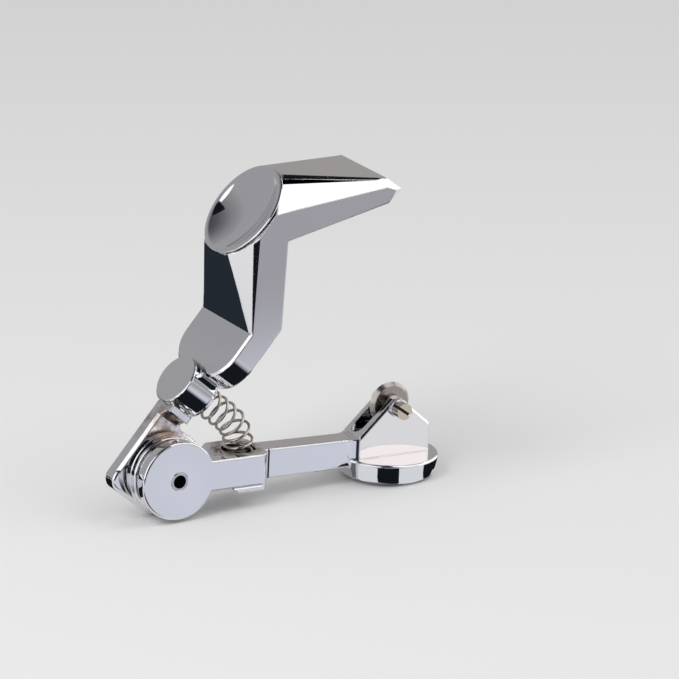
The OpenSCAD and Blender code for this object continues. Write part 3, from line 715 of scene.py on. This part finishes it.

# %% [markdown]
# ## Painted shade, a painted reflection and grime
# Painted shade blackens the bore of the hinge pin and the slot of the axle,
# and thin bluish-black lines of painted shade run up three corners of the
# castings.  Brown grime gathers round the spring's pocket, and a warm patch of
# painted reflection tints the strap above the hinge.  A distance from a line,
# a slab or a point says where, and noise breaks up the grime and the warm
# patch.

# %% Distance masks
def distance_mask(shape):
    """A group whose mask is 1 near a line, in a slab on its -Y side or near a point, and fades out over Fade."""
    inputs = [("Vector", "Vector", None), ("Centre", "Vector", None), ("Reach", "Float", 0.001),
              ("Fade", "Float", 0.00005)]
    if shape != "point":
        inputs.append(("Direction", "Vector", None))
    if shape == "line":
        inputs.append(("Half Length", "Float", 0.03))
    # The line and slab groups place painted shade, and the point group places grime and a warm painted reflection.
    group, given, made = new_group("painted light and grime " + shape, inputs, [("Mask", "Float")])
    away = vector(group, "SUBTRACT", given["Vector"], given["Centre"])
    if shape == "point":
        far = vector(group, "LENGTH", away)
    else:
        along = number(group, "ABSOLUTE", vector(group, "DOT_PRODUCT", away, given["Direction"]))
        if shape == "slab":
            slab_start = 0.0035
            y_away = wire(group, "ShaderNodeSeparateXYZ", {"Vector": away}).outputs["Y"]
            far = number(group, "MAXIMUM", along, number(group, "ADD", y_away, slab_start))
        else:
            beside = vector(group, "LENGTH", vector(group, "CROSS_PRODUCT", away, given["Direction"]))
            far = number(group, "MAXIMUM", beside, number(group, "SUBTRACT", along, given["Half Length"]))
    share = number(group, "DIVIDE", number(group, "SUBTRACT", far, given["Reach"]), given["Fade"])
    mask = wire(group, "ShaderNodeMapRange", {"Value": share, "From Min": 0.0, "From Max": 1.0, "To Min": 1.0,
                                              "To Max": 0.0})
    group.links.new(mask.outputs["Result"], made["Mask"])
    return group


def paint_light_and_grime(material, mask, values, colour, rough, patches=0.0):
    """Mixes a colour into a metal where a mask with those values says, broken into patches if asked for; below it
    paints shade, a warm reflection and grime.
    """
    tree = material.node_tree
    shader = tree.nodes["Principled BSDF"]
    place = wire(tree, "ShaderNodeTexCoord").outputs["Object"]
    amount = wire(tree, "ShaderNodeGroup", {"Vector": place, **values}, node_tree=mask).outputs["Mask"]
    if patches:
        speckle = wire(tree, "ShaderNodeTexNoise", {"Vector": place, "Scale": patches, "Detail": 5.0,
                                                    "Roughness": 0.65})
        patchiness = wire(tree, "ShaderNodeMapRange", {"Value": speckle.outputs["Fac"], "From Min": 0.36,
                                                  "From Max": 0.58})
        amount = number(tree, "MULTIPLY", amount, patchiness.outputs["Result"])
    plain_colour, plain_rough = (shader.inputs[label].links[0].from_socket for label in ("Base Color", "Roughness"))
    tree.links.new(colour_mix(tree, amount, plain_colour, (*colour, 1)), shader.inputs["Base Color"])
    mixed = wire(tree, "ShaderNodeMix", {0: amount, 2: plain_rough, 3: rough}, data_type="FLOAT")
    tree.links.new(mixed.outputs[0], shader.inputs["Roughness"])


# The line and slab masks place painted shade; the point mask places grime and a warm painted reflection.
shade_near_line, shade_in_slab, grime_and_reflection_point = (distance_mask(shape) for shape in ("line", "slab", "point"))

# %% Where painted shade, a painted reflection and grime go
# Painted shade: pin steel near the hinge axis, inside the pin's bore, is darkened almost to black.
paint_light_and_grime(pin_steel, shade_near_line, {"Direction": (0, 1, 0), "Reach": 0.00167, "Fade": 0.00006}, (0.03, 0.028, 0.026), 0.55)
# Painted shade: a thin band along the slot on the axle head's face is darkened almost to black.
slot_turn = math.radians(35) + tilt
paint_light_and_grime(nickel, shade_in_slab, {"Centre": tuple(wheel_centre), "Direction": (math.sin(slot_turn), 0, math.cos(slot_turn)),
                         "Reach": 0.00034, "Fade": 0.00003}, (0.05, 0.04, 0.032), 0.5)
pocket = leaned(spring_x - 0.0007, mid_y + 0.0004, 0.0068)
paint_light_and_grime(chrome, grime_and_reflection_point, {"Centre": tuple(pocket), "Reach": 0.0056, "Fade": 0.0022}, (0.20, 0.135, 0.105), 0.34,
       patches=480.0)
# Painted reflection: a warm beige patch on the chrome round the top of the hinge, broken up by noise, stands in for
# warm light reflected by the strap.
paint_light_and_grime(chrome, grime_and_reflection_point, {"Centre": (0.0002, 0.0098, 0.0126), "Reach": 0.0042, "Fade": 0.0040},
       (0.46, 0.36, 0.295), 0.2, patches=260.0)
# Painted shade: thin bluish-black upright lines in three corners of the chrome castings.
upright = (math.sin(tilt), 0, math.cos(tilt))
for corner_x, corner_y, reach in ((0.0517, 0.0031, 0.00028), (0.0495, 0.0035, 0.00018), (0.0269, 0.0039, 0.00015)):
    paint_light_and_grime(chrome, shade_near_line, {"Centre": (corner_x, corner_y, 0.0), "Direction": upright, "Half Length": 0.0052,
                               "Reach": reach, "Fade": 0.00022}, (0.030, 0.032, 0.038), 0.3)
print("nodes in the chrome:", len(chrome.node_tree.nodes))

# %% [markdown]
# ## Small parts
# The pins, washers and the wheel keep their measured shapes and only take
# their finish.

# %% Finishes for the small parts
for node_name, material in {
    "hinge_pin": pin_steel, "thrust_washer": chrome, "rear_washer": chrome, "spring_screw": pin_steel,
    "wheel_axle": nickel, "axle_collar": chrome, "axle_clip": spring_steel, "wheel_shims": pin_steel,
    "cutting_wheel": tool_steel, "wheel_bush": brass, "spring_seat": pin_steel,
}.items():
    node_mesh = NODES[node_name].data
    node_mesh.materials.clear()
    node_mesh.materials.append(material)
    print(node_name, "takes", material.name)
